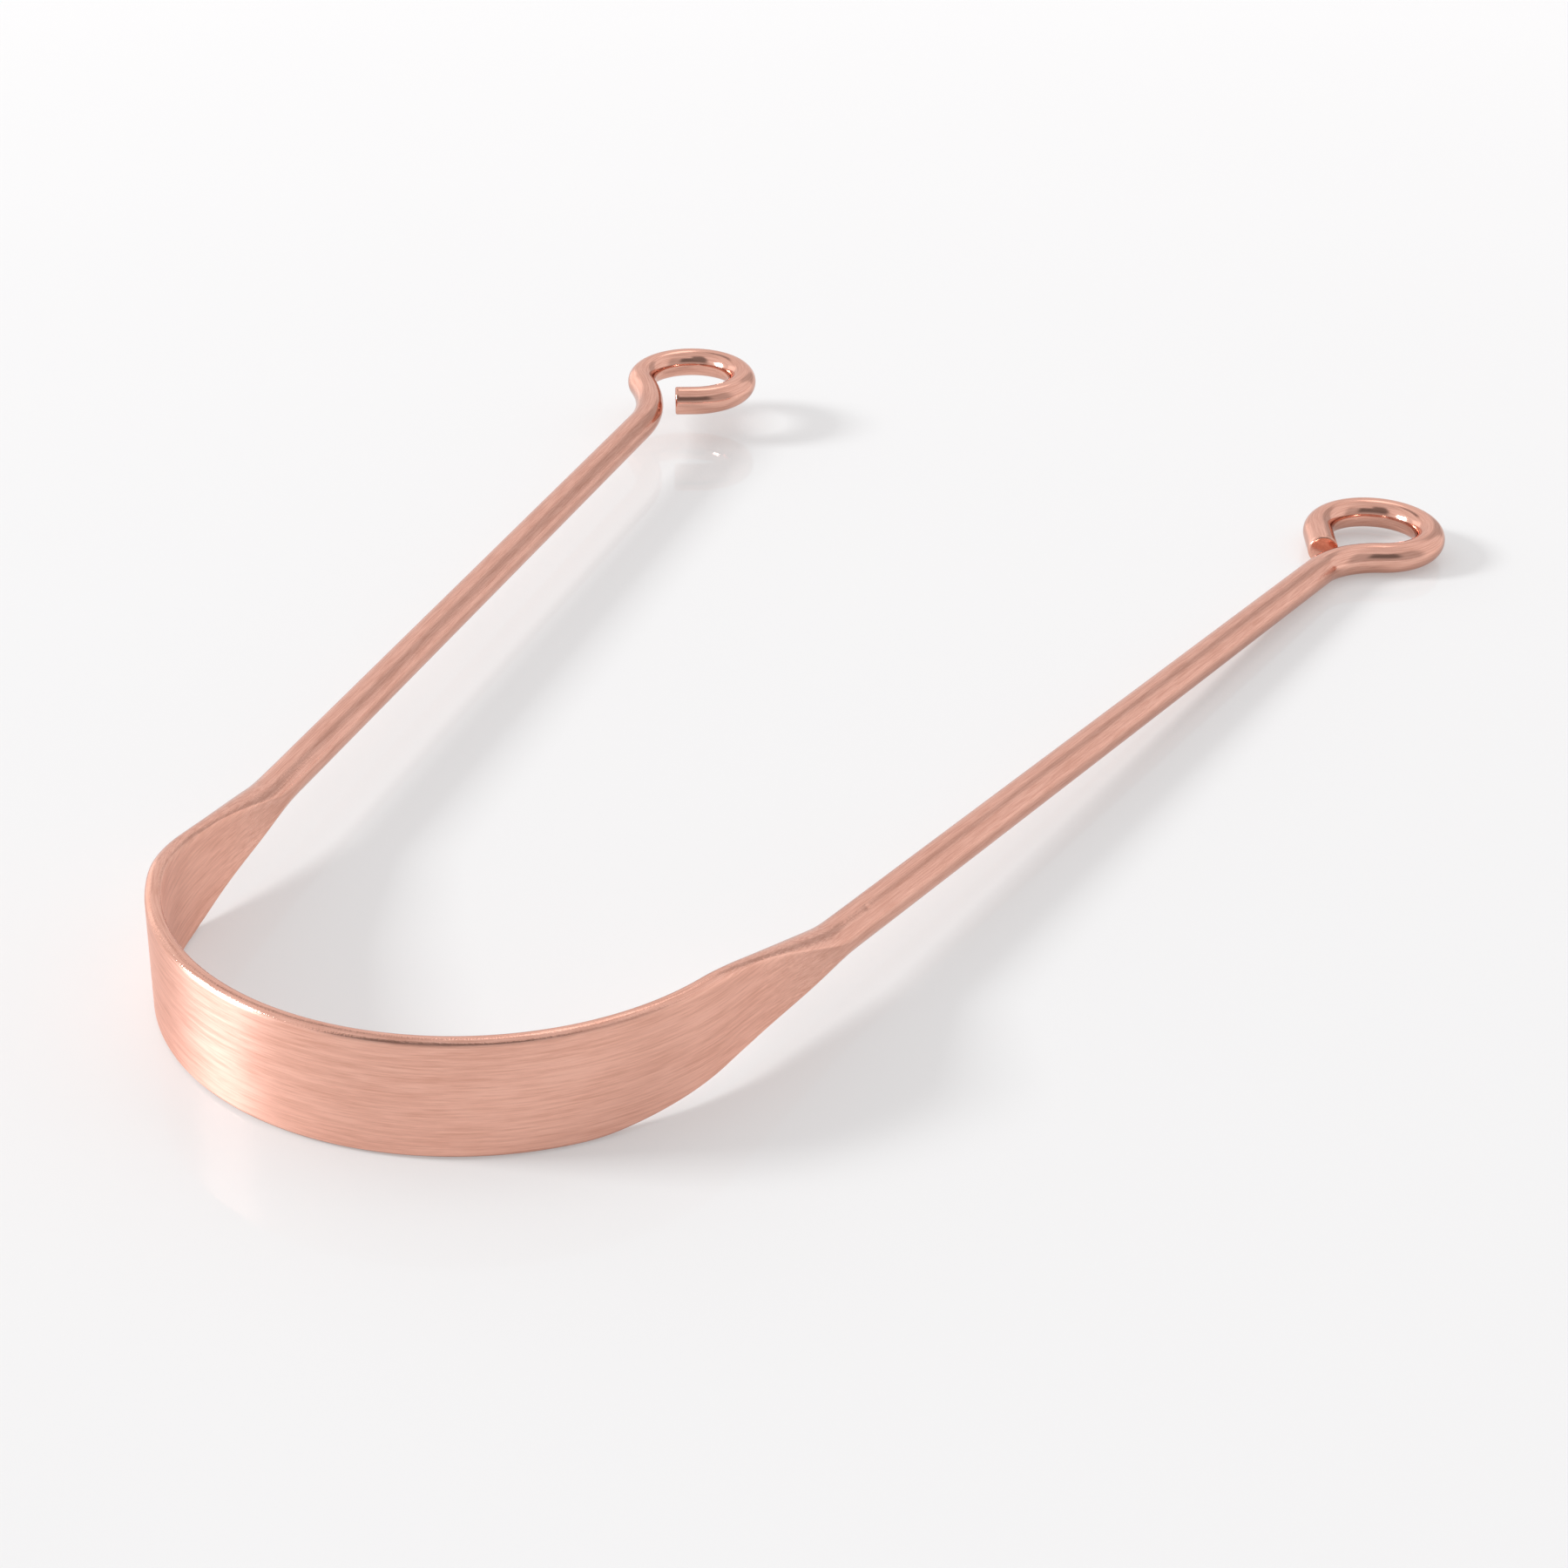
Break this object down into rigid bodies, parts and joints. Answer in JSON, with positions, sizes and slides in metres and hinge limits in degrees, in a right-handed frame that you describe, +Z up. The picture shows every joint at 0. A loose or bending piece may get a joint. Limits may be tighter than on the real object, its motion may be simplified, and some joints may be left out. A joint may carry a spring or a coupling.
{
  "type": "tongue scraper",
  "caption": "U-shaped copper tongue scraper: a flat brushed bow standing on edge, pressed from round rod, with springy splayed arms that end in rolled eyes",
  "frame": {"origin": "on the table, under the middle of the object's overall length and width", "axes": "+Y from the bow along the arms to the eyes, +X to the right arm's side, +Z up from the table"},
  "size_m": [0.0916, 0.143, 0.0093],
  "materials": {
    "brushed_copper": "copper, brushed lengthwise",
    "satin_copper": "copper, satin drawn rod",
    "polished_copper": "copper, smooth and glossy"
  },
  "bodies": {
    "bow": {"scraping_blade": "brushed_copper"},
    "left_arm": {"left_shoulder": "brushed_copper", "left_handle": "satin_copper", "left_eye": "polished_copper"},
    "right_arm": {"right_shoulder": "brushed_copper", "right_handle": "satin_copper", "right_eye": "polished_copper"}
  },
  "joints": [
    {"name": "left_arm_flex", "type": "hinge", "parent": "bow", "child": "left_arm", "pos_m": [-0.01813, -0.06315, 0.00465], "axis": [0, 0, -1], "range_deg": [-6, 6], "stiffness_Nm_per_rad": 5},
    {"name": "right_arm_flex", "type": "hinge", "parent": "bow", "child": "right_arm", "pos_m": [0.01595, -0.06315, 0.00465], "axis": [0, 0, 1], "range_deg": [-6, 6], "stiffness_Nm_per_rad": 5}
  ]
}
